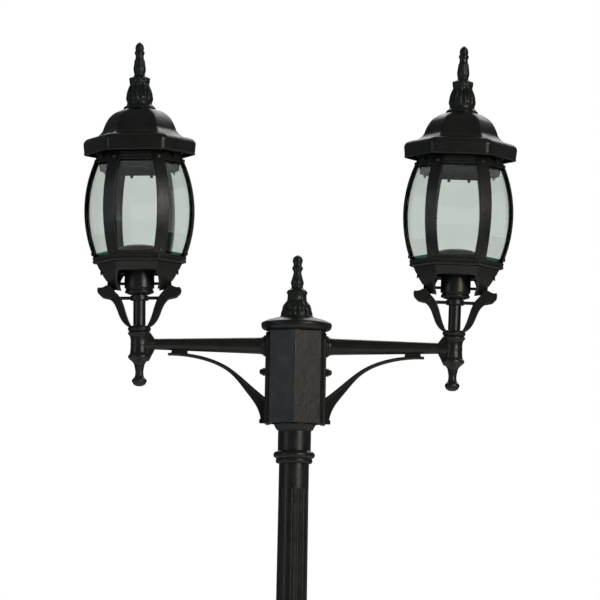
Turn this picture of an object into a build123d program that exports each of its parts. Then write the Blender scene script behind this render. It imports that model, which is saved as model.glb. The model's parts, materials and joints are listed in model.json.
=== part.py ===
from build123d import *
import os
from math import cos, radians, sin, sqrt, tan

# Street lamp post with two six-sided lanterns on side arms.
# Millimetres. The origin is on the ground at the centre of the foot, +Z is up,
# and the arms point along +X and -X. Heights are absolute, lantern pieces are
# drawn round the Z axis and then moved out to the arm ends.

SIDES = 6
HALF_SIDE = radians(180 / SIDES)
FLAT = cos(HALF_SIDE)  # distance to a flat side over distance to a corner
FAR = 400.0  # larger than any lantern, for cutting blocks
FIT = 0.05  # radial running clearance of the lantern and head swivels
GAP = 0.3  # gap between faces of pieces that move on each other

# Foot and post
FOOT_R = 150.0
FOOT_THICK = 18.0
ANCHOR_PCD = 250.0
ANCHOR_HOLE_R = 7.0
CABLE_ENTRY_R = 25.0
COLUMN_TOP = 604.0
COLUMN_FLANGE_R = 112.0
COLUMN_BOLT_PCD = 196.0
SHAFT_BOTTOM = 500.0
SHAFT_TOP = 1560.0
SHAFT_TOP_R = 30.0
SHAFT_FOOT_R = 33.0
SHAFT_BORE_R = 25.0
FLUTES = 16
FLUTE_R = 4.0
FLUTE_DEPTH = 1.6
FLUTE_LOW = 668.0
FLUTE_HIGH = 1512.0
COLLAR_TOP = 640.0
SET_SCREW_Z = 1526.0
SET_SCREW_R = 4.0

# Hub that carries the arms
NECK_R = 33.0
NECK_BORE_R = 28.0
SPIGOT_BORE_R = 19.0
SPIGOT_LOW = 1490.0
HUB_FLOOR = 1628.0
HUB_LOW = 1640.0
HUB_HIGH = 1825.0
HUB_FLAT = 51.5
HUB_WALL = 6.0
CAP_HIGH = 1853.0
CAP_R = 70.0
ROD_R = 5.0
ROD_HIGH = 1880.0
LEAD_R = 3.5
LEAD_BORE_R = 5.5
LEAD_BEND = 20.0
LEAD_OFFSET = 18.0

# Arms
ARM_REACH = 314.0
ARM_Z = 1795.0
ARM_OUTER_X = 283.0
ARM_OUTER_R = 11.0
ARM_ROOT_R = 17.0
PLATE_THICK = 8.5
PLATE_X = HUB_FLAT + PLATE_THICK
PLATE_LOW = 1638.0
PLATE_HIGH = 1822.0
PLATE_HALF_WIDTH = 27.0
PLATE_BOLT_Z = 1743.0
WEB_THICK = 8.0
BRACE_WIDTH = 18.0
SOCKET_LOW = 1755.0
SOCKET_HIGH = 1820.0
NIPPLE_R = 9.0
NIPPLE_HIGH = 1850.0
LEAN = 1.2  # outward lean of each lantern about its arm's end, in degrees

# Lantern cage: the ribs, glass and feet all follow one barrel arc
BARREL_R = 250.0
BARREL_Z = 2062.0
RIB_REACH = 110.0
RIB_WIDTH = 26.0
RIB_THICK = 3.5
RIB_WEB = 9.0
RIB_WEB_DEPTH = 8.0
CAGE_LOW = 1956.0
FLOOR_THICK = 5.0
RIB_LOW = 1970.0
TOP_RING_LOW = 2158.0
TOP_RING_HIGH = 2177.0
GLASS_THICK = 3.0
GLASS_EDGE_GAP = 0.6
ROOF_SEAT = TOP_RING_HIGH + GAP
ROOF_TIP_Z = 2195.0
ROOF_TOP = 2268.0
STUD_R = 6.0
ROOF_LIP_Z = 2172.0
CEILING_Z = 2166.0
CUP_R = 30.0
CUP_LOW = 1903.0
CUP_WALL = 3.0
STEM_R = 12.5
LEG_WALL = 5.0
LEG_WIDTH = 20.0
TIE_Z = 1887.0
COLLAR_R = 22.0
PIN_R = 3.0
PIN_HEIGHTS = (1938.0, 1916.0)
PIN_HEAD_R = 4.5
PIN_SINK = 1.5
HOLDER_R = 19.0
HOLDER_LOW = 1924.0
HOLDER_HIGH = 1993.0
E27_R = 13.3


def leaned(shape, side=1):
    """Lantern piece put at the end of an arm, leaning outwards."""
    return Pos(side * ARM_REACH, 0, ARM_Z) * Rot(0, side * LEAN, 0) * Pos(0, 0, -ARM_Z) * shape


def side_angles(first=0.0, count=SIDES):
    """Azimuths of equally spaced pieces round the axis, in degrees."""
    return [first + 360.0 / count * i for i in range(count)]


def turned(low_z, low_r, *steps):
    """Solid of revolution from the bottom up; a step is (rise, radius, bulge)."""
    here = (low_r, low_z)
    edges = []
    if low_r > 0:
        edges.append(Line((0, low_z), here))
    for rise, radius, bulge in steps:
        there = (radius, here[1] + rise)
        edges.append(SagittaArc(here, there, -bulge) if bulge else Line(here, there))
        here = there
    if here[0] > 0:
        edges.append(Line(here, (0, here[1])))
    edges.append(Line((0, here[1]), (0, low_z)))
    return revolve(Plane.XZ * make_face(edges), Axis.Z)


def rod(low_z, high_z, radius, x=0.0, y=0.0):
    """Upright round bar."""
    return Pos(x, y, (low_z + high_z) / 2) * Cylinder(radius, high_z - low_z)


def crossbar(x_from, x_to, radius, z, y=0.0, end_radius=None):
    """Round bar along X, tapered when an end radius is given."""
    length = x_to - x_from
    if end_radius is None:
        bar = Cylinder(radius, length)
    else:
        bar = Cone(radius, end_radius, length)
    return Pos((x_from + x_to) / 2, y, z) * Rot(0, 90, 0) * bar


def block(x_range, y_range, z_range):
    """Box from its ranges along the three axes."""
    centre = [(pair[0] + pair[1]) / 2 for pair in (x_range, y_range, z_range)]
    size = [pair[1] - pair[0] for pair in (x_range, y_range, z_range)]
    return Pos(*centre) * Box(*size)


def wedge(apex=0.0):
    """Sixth of the space round the axis, centred on +X, its edge moved out by apex."""
    corner = FAR * tan(HALF_SIDE)
    outline = Polyline((apex, 0), (apex + FAR, -corner), (apex + FAR, corner), close=True)
    return Pos(0, 0, 1500) * extrude(make_face(outline), 1000)


def side_piece(section, apex=0.0):
    """Slice of a six-sided shell: the section drawn square to a side, cut at the corners."""
    return extrude(Plane.XZ * section, FAR / 2, both=True) & wedge(apex)


def six_sided(section):
    """Closed six-sided shell with corners at +X and every 60 degrees."""
    piece = side_piece(section)
    slices = [Rot(0, 0, angle) * piece for angle in side_angles(30)]
    return slices[0].fuse(*slices[1:]).clean()


def barrel(z, inset=0.0):
    """Reach of the cage's outer arc at a height, less an inset."""
    return RIB_REACH - inset - BARREL_R + sqrt(BARREL_R**2 - (z - BARREL_Z) ** 2)


def barrel_band(low_z, high_z, outer_reach, inner_reach):
    """Face between two arcs that follow the barrel; a reach is a function of height."""
    mid_z = (low_z + high_z) / 2
    outer = ThreePointArc(*[(outer_reach(z), z) for z in (low_z, mid_z, high_z)])
    inner = ThreePointArc(*[(inner_reach(z), z) for z in (high_z, mid_z, low_z)])
    return make_face([outer, Line(outer @ 1, inner @ 0), inner, Line(inner @ 1, outer @ 0)])


def ring_of(piece, first=0.0, count=SIDES):
    """Separate copies of a piece round the axis."""
    return Compound([copy for angle in side_angles(first, count)
                     for copy in (Rot(0, 0, angle) * piece).solids()])


# ---------------------------------------------------------------- foot and post


def make_foot_plate():
    plate = turned(0, FOOT_R, (FOOT_THICK - 4, FOOT_R, 0), (4, FOOT_R - 4, 1.2))
    plate -= rod(-1, FOOT_THICK + 1, CABLE_ENTRY_R)
    for angle in side_angles(45, 4):
        plate -= Rot(0, 0, angle) * rod(-1, FOOT_THICK + 1, ANCHOR_HOLE_R, ANCHOR_PCD / 2)
    for angle in side_angles(0, 4):
        plate -= Rot(0, 0, angle) * rod(-1, FOOT_THICK + 1, 5.0, COLUMN_BOLT_PCD / 2)
    return plate


def make_base_column():
    column = turned(
        FOOT_THICK, COLUMN_FLANGE_R, (12, COLUMN_FLANGE_R, 0), (0, 84, 0), (46, 84, 0),
        (10, 78, 2), (14, 70, -4), (46, 62, 7), (22, 50, -5), (8, 54, 3), (8, 50, 3),
        (COLUMN_TOP - 236, 42, -3), (10, 46, 3), (14, 46, 5), (10, 41, -3), (18, 43, 0),
    )
    hollow = turned(
        FOOT_THICK - 1, 74, (55, 74, 0), (90, 42, 0), (COLUMN_TOP - FOOT_THICK - 246, 36, 0)
    )
    column -= hollow
    column -= rod(SHAFT_BOTTOM - 20, COLUMN_TOP + 1, SHAFT_FOOT_R + 0.1)
    for angle in side_angles(0, 4):
        column -= Rot(0, 0, angle) * rod(0, 60, 5.0, COLUMN_BOLT_PCD / 2)
    return column


def make_base_bolts():
    shank = rod(1, FOOT_THICK + 12, 4.95, COLUMN_BOLT_PCD / 2)
    head = extrude(Pos(COLUMN_BOLT_PCD / 2, 0, FOOT_THICK + 12) * RegularPolygon(9.2, 6), 6.5)
    return ring_of(shank + head, 0, 4)


def make_shaft_collar():
    collar = turned(COLUMN_TOP, 43, (6, 46, 2), (8, 46, 3), (6, 40, -2), (8, 40, 3), (8, 36, -2))
    return collar - rod(COLUMN_TOP - 1, COLLAR_TOP + 1, SHAFT_FOOT_R + 0.1)


def make_fluted_shaft():
    plain = FLUTE_LOW - SHAFT_BOTTOM
    shaft = turned(
        SHAFT_BOTTOM, SHAFT_FOOT_R, (plain, SHAFT_FOOT_R, 0),
        (FLUTE_HIGH - FLUTE_LOW, SHAFT_TOP_R, 0), (SHAFT_TOP - FLUTE_HIGH, SHAFT_TOP_R, 0),
    )
    low = Vector(SHAFT_FOOT_R + FLUTE_R - FLUTE_DEPTH, 0, FLUTE_LOW + 10)
    high = Vector(SHAFT_TOP_R + FLUTE_R - FLUTE_DEPTH, 0, FLUTE_HIGH - 4)
    run = Line(low, high)
    groove = sweep(Plane(run @ 0, z_dir=run % 0) * Circle(FLUTE_R), run)
    groove = groove + Pos(*low) * Sphere(FLUTE_R) + Pos(*high) * Sphere(FLUTE_R)
    for angle in side_angles(0, FLUTES):
        shaft -= Rot(0, 0, angle) * groove
    shaft -= rod(SHAFT_BOTTOM - 1, SHAFT_TOP + 1, SHAFT_BORE_R)
    for angle in side_angles(-83, 3):
        shaft -= Rot(0, 0, angle) * crossbar(10, 50, SET_SCREW_R, SET_SCREW_Z)
    return shaft


def make_set_screws():
    screw = crossbar(SHAFT_BORE_R + 0.1, SHAFT_TOP_R - 1, SET_SCREW_R - 0.05, SET_SCREW_Z)
    screw -= Pos(SHAFT_TOP_R - 1, 0, SET_SCREW_Z) * Rot(0, 90, 0) * extrude(
        RegularPolygon(2.3, 6), -2.5
    )
    return ring_of(screw, -83, 3)


# ---------------------------------------------------------------- hub and arms


def make_neck_collar():
    low = SHAFT_TOP + GAP
    neck = turned(
        low, 33, (1, 35, 0), (8.7, 35.5, 1.5), (1, 37, 0), (13, 37, 4.5), (2, NECK_R, -0.5),
        (HUB_FLOOR - 4 - low - 25.7, NECK_R, 0), (3, 36, -1), (11, 42, 0), (2, 42, 0),
    )
    neck += rod(SPIGOT_LOW, low + 1, SHAFT_BORE_R - FIT)
    neck -= rod(SPIGOT_LOW - 1, 1586, SPIGOT_BORE_R)
    neck -= rod(1585, HUB_FLOOR - 6, NECK_BORE_R)
    neck -= rod(HUB_FLOOR - 7, HUB_LOW + 1, ROD_R)
    for x in (-LEAD_OFFSET, LEAD_OFFSET):
        neck -= rod(HUB_FLOOR - 10, HUB_LOW + 1, LEAD_BORE_R, x)
    return neck


def hexagon(flat_distance):
    """Hexagon with flat sides square to X."""
    return Rot(0, 0, 30) * RegularPolygon(flat_distance, SIDES, major_radius=False)


def make_hub_body():
    hub = Pos(0, 0, HUB_LOW) * extrude(hexagon(HUB_FLAT), HUB_HIGH - HUB_LOW)
    hub = chamfer(hub.edges().filter_by(Axis.Z), 1.5)
    hub -= Pos(0, 0, HUB_LOW - 1) * extrude(hexagon(HUB_FLAT - HUB_WALL), HUB_HIGH - HUB_LOW + 2)
    hub -= crossbar(-60, 60, ARM_OUTER_R, ARM_Z)
    hub -= crossbar(-60, 60, ROD_R, PLATE_BOLT_Z)
    return hub


def make_hub_cap():
    cap = turned(
        HUB_HIGH, 60, (2, 65, 0), (8, CAP_R, 1.5), (8, CAP_R - 4, 2), (6, 50, 0.5),
        (CAP_HIGH - HUB_HIGH - 24, 34, 0),
    )
    cap += Pos(0, 0, HUB_HIGH - 4) * extrude(hexagon(HUB_FLAT - HUB_WALL - 0.3), 5)
    cap -= Pos(0, 0, HUB_HIGH - 5) * extrude(hexagon(HUB_FLAT - HUB_WALL - 4), 11)
    return cap - rod(HUB_HIGH - 10, CAP_HIGH + 5, ROD_R)


def make_centre_finial():
    finial = turned(
        CAP_HIGH, 34, (3, 31.5, 0.6), (12, 28, 0.6), (10, 25, 0.3), (10, 18.8, -0.8),
        (6, 18.2, 0), (6, 19.6, 0), (4, 20, 1), (4, 17, 0.4), (5, 11.6, -0.8), (3, 11.6, 0),
        (10, 12.2, 0.8), (8, 9.8, -0.2), (6, 8.4, 0), (6, 8.4, -0.2), (3, 10.4, 0),
        (5, 10.2, 0.5), (3, 8.4, -0.2), (4, 8.6, 0), (5, 10, 0.5), (5, 9, 0.8),
        (4, 6.2, 0.8), (2, 3, 0.3), (1, 0.8, 0.1),
    )
    return finial - rod(CAP_HIGH - 1, ROD_HIGH + 2, ROD_R)


def make_tie_rod():
    rod_bar = rod(HUB_FLOOR - 4, ROD_HIGH, ROD_R - 0.05)
    nut = extrude(Pos(0, 0, HUB_LOW) * RegularPolygon(9.2, 6), 8)
    return rod_bar + nut


def make_terminal_block():
    body = block((-22, 22), (-9, 9), (1588, 1616))
    for x in (-LEAD_OFFSET, LEAD_OFFSET):
        body -= rod(1608, 1617, 4.2, x)
    for x in (-15, -5, 5, 15):
        body -= Pos(x, -9, 1602) * Rot(90, 0, 0) * Cylinder(2.6, 8)
    return body


def lead_route():
    """From the terminal block up the hub, along the arm and up the lantern's stem."""
    top = leaned(Vertex(0, 0, HOLDER_LOW - 1)).vertex()
    return FilletPolyline(
        (LEAD_OFFSET, 0, 1609), (LEAD_OFFSET, 0, ARM_Z), (ARM_REACH, 0, ARM_Z),
        top, radius=LEAD_BEND,
    )


def make_lamp_lead():
    route = lead_route()
    return sweep(Plane(route @ 0, z_dir=route % 0) * Circle(LEAD_R), route)


def lead_passage():
    """Space for the lead and its bend through the end socket."""
    route = lead_route()
    return sweep(Plane(route @ 0, z_dir=route % 0) * Circle(LEAD_BORE_R), route)


def make_bracket_plate():
    outline = Polyline(
        (-PLATE_HALF_WIDTH, PLATE_LOW), (PLATE_HALF_WIDTH, PLATE_LOW),
        (PLATE_HALF_WIDTH, PLATE_HIGH - 14), (PLATE_HALF_WIDTH - 9, PLATE_HIGH),
        (9 - PLATE_HALF_WIDTH, PLATE_HIGH), (-PLATE_HALF_WIDTH, PLATE_HIGH - 14), close=True,
    )
    plate = Pos(HUB_FLAT, 0, 0) * extrude(Plane.YZ * make_face(outline), PLATE_THICK)
    outer_edges = plate.faces().sort_by(Axis.X)[-1].edges()
    plate = chamfer(outer_edges, 1.2)
    plate -= crossbar(40, 80, ARM_OUTER_R, ARM_Z)
    return plate - crossbar(40, 80, ROD_R, PLATE_BOLT_Z)


def make_plate_bolts():
    """Bolt with a domed cap nut outside and a hexagon nut inside the hub, one a side."""
    shank = crossbar(HUB_FLAT - HUB_WALL - 9, PLATE_X + 3, ROD_R - 0.05, PLATE_BOLT_Z)
    inner = Pos(HUB_FLAT - HUB_WALL - 6, 0, PLATE_BOLT_Z) * Rot(0, 90, 0) * extrude(
        RegularPolygon(9, 6), 6
    )
    outer = Pos(PLATE_X, 0, PLATE_BOLT_Z) * Rot(0, 90, 0) * extrude(RegularPolygon(8, 6), 6)
    nut_face = PLATE_X + 6
    tip = PLATE_X + 12.5
    dome = Plane.XZ * make_face(
        [Line((nut_face, PLATE_BOLT_Z), (nut_face, PLATE_BOLT_Z + 6)),
         SagittaArc((nut_face, PLATE_BOLT_Z + 6), (tip, PLATE_BOLT_Z + 0.8), 2),
         Line((tip, PLATE_BOLT_Z + 0.8), (tip, PLATE_BOLT_Z)),
         Line((tip, PLATE_BOLT_Z), (nut_face, PLATE_BOLT_Z))]
    )
    cap = revolve(dome, Axis((0, 0, PLATE_BOLT_Z), (1, 0, 0)))
    bolt = shank + inner + outer + cap
    return Compound([bolt.solid(), (Rot(0, 0, 180) * bolt).solid()])


def make_arm_tube():
    tube = crossbar(PLATE_X, ARM_OUTER_X, ARM_ROOT_R, ARM_Z, end_radius=ARM_OUTER_R)
    tube += crossbar(PLATE_X, PLATE_X + 6, 21, ARM_Z, end_radius=18)
    tube += crossbar(HUB_FLAT - HUB_WALL - 1.5, PLATE_X + 1, ARM_OUTER_R - 0.1, ARM_Z)
    tube -= crossbar(20, ARM_OUTER_X + 1, LEAD_BORE_R + 1, ARM_Z)
    return tube


def make_brace():
    """Curved bracket under the arm: a web, a flange along its top edge and a lug."""
    root = PLATE_X
    top = Spline((root, 1692), (99, 1724), (136, 1752), (184, 1771), (256, 1777.5))
    low = Spline((256, 1772.5), (184, 1764), (130, 1738), (99, 1703), (75, 1669), (68, 1640))
    web = make_face([top, Line(top @ 1, low @ 0), low, Line(low @ 1, (root, 1640)),
                     Line((root, 1640), top @ 0)])
    under = Spline((256, 1773.5), (184, 1766.5), (137, 1747), (101, 1719), (root, 1685.5))
    rim = make_face([top, Line(top @ 1, under @ 0), under, Line(under @ 1, top @ 0)])
    brace = extrude(Plane.XZ * web, WEB_THICK / 2, both=True)
    brace += extrude(Plane.XZ * rim, BRACE_WIDTH / 2, both=True)
    brace += block((root, 71), (-BRACE_WIDTH / 2, BRACE_WIDTH / 2), (1640, 1648))
    lug = block((217, 249), (-6, 6), (1773.8, 1790))
    brace += lug
    return brace - crossbar(PLATE_X, ARM_OUTER_X, ARM_ROOT_R, ARM_Z, end_radius=ARM_OUTER_R)


def make_end_socket():
    socket = turned(
        SOCKET_LOW, 9, (6, 15, -1), (5, 21, 1), (3, 22.5, 1), (4, 20.5, 1), (9, 18.5, -0.8),
        (12, 18, -0.5), (16, 19, -0.8), (4, 22, 0), (4, 22, 1.2), (1.7, 20, 0),
    )
    socket += rod(SOCKET_HIGH - 3, NIPPLE_HIGH, NIPPLE_R)
    reach = ARM_REACH - ARM_OUTER_X
    boss = crossbar(-reach, 0, ARM_OUTER_R + 0.5, ARM_Z, end_radius=16.5)
    outline = Polyline(
        (-reach + 0.5, 1784), (-19, 1761), (0, 1761), (0, 1816), (-23, 1816), (-reach + 0.5, 1806),
        close=True,
    )
    cheek = extrude(Plane.XZ * make_face(outline), 9, both=True)
    bore = leaned(rod(SOCKET_LOW - 1, SOCKET_LOW + 9, 4.1))
    return leaned(socket) + Pos(ARM_REACH, 0, 0) * (boss + cheek) - lead_passage() - bore


def make_drop_finial():
    finial = turned(
        1710.5, 4, (2, 9, 0.8), (4, 13, 1), (9, 12.5, 2.2), (9, 8.4, -1.2), (12, 8.4, -0.4),
        (4, 10, 1), (SOCKET_LOW - 1750.5, 9, 0.4),
    )
    return finial + rod(SOCKET_LOW - 1, SOCKET_LOW + 8, 4.0)


# ---------------------------------------------------------------- lantern


def leg_window():
    """Outline of a leg seen from its arm's direction: wide at the cage, narrow below."""
    half = Polyline((0, 1900), (18, 1900), (24, 1908))
    flare = Spline((24, 1908), (38, 1922), (60, 1936), (90, 1962))
    right = [*half.edges(), flare, Line((90, 1962), (0, 1962)), Line((0, 1962), (0, 1900))]
    face = make_face(right)
    return face + mirror(face, Plane.YZ)


def make_cradle():
    """Yoke of two legs that hold the cage, a tie bar and the collar they stand on."""
    shell = six_sided(barrel_band(
        1904, CAGE_LOW, lambda z: FLAT * barrel(z), lambda z: FLAT * (barrel(z) - LEG_WALL)
    ))
    window = extrude(Plane.YZ * leg_window(), FAR)
    skirt = shell & window
    tip = make_face([
        Line((59, 1912), (66, 1912)), SagittaArc((66, 1912), (82, 1908), -2),
        SagittaArc((82, 1908), (79, 1893), 3), Line((79, 1893), (74, 1888)),
        Line((74, 1888), (61, 1885)), Line((61, 1885), (43, 1894)), Line((43, 1894), (59, 1912)),
    ])
    outer = Spline((62, 1886), (49, 1873), (42, 1856), (34, 1840), (21, 1829))
    inner = Spline((15, 1829), (22, 1843), (28, 1861), (33, 1877), (44, 1896))
    strap = make_face([outer, Line(outer @ 1, inner @ 0), inner, Line(inner @ 1, outer @ 0)])
    leg = skirt + extrude(Plane.XZ * tip, 16, both=True)
    leg += extrude(Plane.XZ * strap, LEG_WIDTH / 2, both=True)
    legs = leg + Rot(0, 0, 180) * leg
    collar = turned(SOCKET_HIGH, 21, (2, COLLAR_R, 0.6), (6, COLLAR_R, 1.5), (3, 18, 1))
    tie = block((-46, 46), (-6, 6), (TIE_Z - 3, TIE_Z + 3)) + rod(TIE_Z - 5, TIE_Z + 5, 18)
    cradle = legs + collar + tie
    cradle -= rod(1829, 1900, STEM_R)
    cradle -= rod(1810, 1840, NIPPLE_R + FIT)
    cradle -= crossbar(-30, 30, 2.5, 1824)
    for z in PIN_HEIGHTS:
        cradle -= crossbar(-90, 90, PIN_R, z)
        for angle in (0, 180):
            cradle -= Rot(0, 0, angle) * crossbar(barrel(z) - PIN_SINK, 100, PIN_HEAD_R + 0.3, z)
    return cradle


def make_swivel_screw():
    return crossbar(NIPPLE_R + 0.3, COLLAR_R - 1, 2.45, 1824)


def make_cradle_pins():
    """Screws that tie the lampholder cup to the two legs, two to a leg."""
    pins = []
    for z in PIN_HEIGHTS:
        pin = crossbar(CUP_R - CUP_WALL, barrel(z), PIN_R - 0.05, z)
        pin += crossbar(barrel(z) - PIN_SINK, barrel(z) + 1.2, PIN_HEAD_R, z)
        pins += [pin.solid(), (Rot(0, 0, 180) * pin).solid()]
    return Compound(pins)


def make_stem_tube():
    stem = rod(1831, CUP_LOW + 12, STEM_R - 0.05)
    stem -= rod(1800, NIPPLE_HIGH + 2, NIPPLE_R + FIT)
    return stem - rod(1800, 1950, LEAD_BORE_R)


def make_lampholder_cup():
    cup = turned(
        CUP_LOW - 9, 20, (3, 28, 0), (3, 29, 0.8), (3, 27, 0.5), (4, CUP_R, -1),
        (CAGE_LOW - CUP_LOW - 11, CUP_R, 0), (4, 34, 0), (3, 34, 0),
    )
    cup -= rod(CUP_LOW + 12, CAGE_LOW + 1, CUP_R - CUP_WALL)
    cup -= rod(CUP_LOW - 10, CUP_LOW + 13, STEM_R)
    for z in PIN_HEIGHTS:
        cup -= crossbar(-50, 50, PIN_R, z)
    return cup


def make_lampholder():
    """Ceramic body of an E27 lampholder."""
    body = turned(HOLDER_LOW, 14, (6, HOLDER_R, 1), (52, HOLDER_R, 0), (8, 20.5, 0), (3, 19, 0.5))
    body -= rod(HOLDER_HIGH - 42, HOLDER_HIGH + 1, E27_R + 1.1)
    return body - rod(HOLDER_LOW - 1, HOLDER_HIGH, 3.0)


def make_lamp_contacts():
    """Screw shell and centre contact of the lampholder."""
    shell = rod(HOLDER_HIGH - 38, HOLDER_HIGH - 3, E27_R + 1.0)
    shell -= rod(HOLDER_HIGH - 39, HOLDER_HIGH, E27_R)
    tab = rod(HOLDER_HIGH - 42, HOLDER_HIGH - 37, 4.5) + rod(HOLDER_HIGH - 50, HOLDER_HIGH - 41, 2.9)
    return Compound([shell.solid(), tab.solid()])


def make_reflector_dish():
    """Domed dish round the lampholder on the cage floor."""
    outside = turned(RIB_LOW - 9, 46, (11, 46, 0), (14, 24, 5), (2, 24, 0))
    inside = turned(RIB_LOW - 10, 44, (12, 44, 0), (12, 22, 4.6), (5, 21.5, 0))
    return outside - inside


def make_cage_base():
    """Hexagonal floor and rim that the ribs, glass and cup are fixed to."""
    rim = FLAT * 95
    outline = Polyline(
        (36, CAGE_LOW), (rim - 3, CAGE_LOW), (rim, CAGE_LOW + 4), (rim, RIB_LOW - 3),
        (rim - 2, RIB_LOW), (70, RIB_LOW), (68, CAGE_LOW + FLOOR_THICK),
        (36, CAGE_LOW + FLOOR_THICK), close=True,
    )
    base = six_sided(make_face(outline))
    hole = rod(CAGE_LOW - 1, RIB_LOW, HOLDER_R + 4)
    return base + rod(CAGE_LOW, CAGE_LOW + FLOOR_THICK, 45) - hole


def make_ribs():
    """Six barrel-curved T-section bars at the corners."""
    flange = barrel_band(RIB_LOW, TOP_RING_HIGH, barrel, lambda z: barrel(z, RIB_THICK))
    web = barrel_band(
        RIB_LOW, TOP_RING_LOW, lambda z: barrel(z, RIB_THICK - 0.5),
        lambda z: barrel(z, RIB_THICK + RIB_WEB_DEPTH),
    )
    rib = extrude(Plane.XZ * flange, RIB_WIDTH / 2, both=True)
    rib += extrude(Plane.XZ * web, RIB_WEB / 2, both=True)
    return rib


def glass_reach(z):
    """Distance of the glass's outer face from the axis, square to a side."""
    return FLAT * (barrel(z) - RIB_THICK - 0.2) + 2.2


def make_glass():
    band = barrel_band(
        RIB_LOW + 0.3, TOP_RING_LOW - 0.3, glass_reach, lambda z: glass_reach(z) - GLASS_THICK
    )
    edge = (RIB_WEB / 2 + GLASS_EDGE_GAP) / sin(HALF_SIDE)
    return side_piece(band, edge)


def rib_pocket(rib):
    """Space at a corner that a rib takes up: its flange, and all outside its back."""
    outside = barrel_band(
        RIB_LOW, TOP_RING_HIGH + 1, lambda z: barrel(z) + 20, lambda z: barrel(z, RIB_THICK)
    )
    return rib + extrude(Plane.XZ * outside, RIB_WIDTH / 2, both=True)


def make_top_ring(rib, screws):
    outline = Polyline(
        (70, TOP_RING_LOW), (81.5, TOP_RING_LOW), (81.5, TOP_RING_LOW + 4), (78.5, TOP_RING_LOW + 6),
        (78.5, TOP_RING_HIGH - 2), (77, TOP_RING_HIGH), (72, TOP_RING_HIGH), (72, CEILING_Z),
        (70, CEILING_Z), close=True,
    )
    ring = six_sided(make_face(outline))
    pocket = rib_pocket(rib)
    for angle in side_angles():
        ring -= Rot(0, 0, angle) * pocket
    for screw in screws.solids():
        ring -= screw
    return ring


def make_ceiling_plate():
    """Hexagonal tray that closes the lamp space, with a hanging lip and small tabs."""
    outline = Polyline(
        (0, 2160), (64, 2160), (66, 2142), (67.5, 2142), (69.4, CEILING_Z), (71.5, CEILING_Z + 0.05),
        (71.5, CEILING_Z + 2), (66, CEILING_Z + 2), (64, 2162), (0, 2162), close=True,
    )
    tray = six_sided(make_face(outline)) + rod(2160, 2162, 5)
    for angle in side_angles():
        tray -= Rot(0, 0, angle) * block((77, 90), (-RIB_WEB, RIB_WEB), (2155, 2170))
    tab = block((65.9, 67.4), (-3, 3), (2137, 2143))
    for angle in side_angles(30):
        for shift in (-19, 21):
            tray += Rot(0, 0, angle) * Pos(0, shift, 0) * tab
    return tray


def make_rib_screws():
    """Dome-headed screws that hold each rib to the top ring and the base."""
    screws = []
    for z in (2163, 1976):
        reach = barrel(z)
        head = crossbar(reach - 0.2, reach + 1.2, 4, z) + Pos(reach + 1.2, 0, z) * Rot(0, 90, 0) * (
            Cone(3.6, 2, 1.4, align=(Align.CENTER, Align.CENTER, Align.MIN))
        )
        screws.append(head + crossbar(reach - 7, reach, 2.0, z))
    return ring_of(screws[0] + screws[1])


def make_roof_screws():
    """Three knurled thumb screws whose tips clamp the roof's locating lip."""
    screw = crossbar(71.2, 79, 2.0, 2170) + crossbar(79, 86, 4.5, 2170)
    return ring_of(screw, 90, 3)


def make_roof():
    """Six-sided ogee dome with a hollow brim, a drip lip, and a seat wall on the ring."""
    def at(corner_reach, z):
        return (FLAT * corner_reach, z)

    outside = [
        Line((8, ROOF_TOP), at(34, ROOF_TOP)),
        SagittaArc(at(34, ROOF_TOP), at(64, 2250), 3),
        SagittaArc(at(64, 2250), at(75, 2226), 1),
        SagittaArc(at(75, 2226), at(104, 2209), -4.5),
        SagittaArc(at(104, 2209), at(113, ROOF_TIP_Z), 3),
        Line(at(113, ROOF_TIP_Z), at(111, ROOF_LIP_Z)),
    ]
    inside = Polyline(
        at(111, ROOF_LIP_Z), at(107.5, ROOF_LIP_Z), at(109, ROOF_TIP_Z - 2), at(101, 2204),
        at(84.5, 2210), at(84.5, ROOF_SEAT + 7), at(89, ROOF_SEAT + 3), at(89, ROOF_SEAT),
        (70.8, ROOF_SEAT), (70.8, CEILING_Z + 3), (68.5, CEILING_Z + 3), (68.5, 2211),
        at(70, 2222), at(58, 2245), at(26, 2261), (8, 2261), (8, ROOF_TOP),
    )
    roof = six_sided(make_face([*outside, *inside.edges()]))
    roof += rod(2256, ROOF_TOP, 15)
    for angle in side_angles():
        roof -= Rot(0, 0, angle) * block((73, 84), (-RIB_WEB, RIB_WEB), (2160, ROOF_SEAT))
    return roof - rod(2240, ROOF_TOP + 1, STUD_R)


def make_roof_finial():
    finial = turned(
        ROOF_TOP, 31, (3, 31.5, 1), (3, 29.5, 0), (4, 25.5, -0.8), (4, 25, 0), (14, 25, 1.2),
        (12, 22, 0), (12, 18.7, -0.5), (8, 20, 0.3), (4, 19.5, 1.2), (4, 12, -1), (4, 10.8, -0.3),
        (16, 11.6, 1), (12, 10.3, 0), (6, 8.4, -0.5), (4, 8.3, 0), (3, 9.6, 0.3), (5, 9.4, 0.6),
        (3, 8.2, -0.3), (7, 8, 0.8), (4, 6, 0.8), (3, 3.2, 0.6), (1.5, 0.8, 0.3),
    )
    return finial + rod(2258, ROOF_TOP + 1, STUD_R - 0.1)


# ---------------------------------------------------------------- writing


def write(name, shape):
    export_step(shape if isinstance(shape, Compound) else Compound(shape.solids()),
                f"parts/{name}.step")


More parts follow.
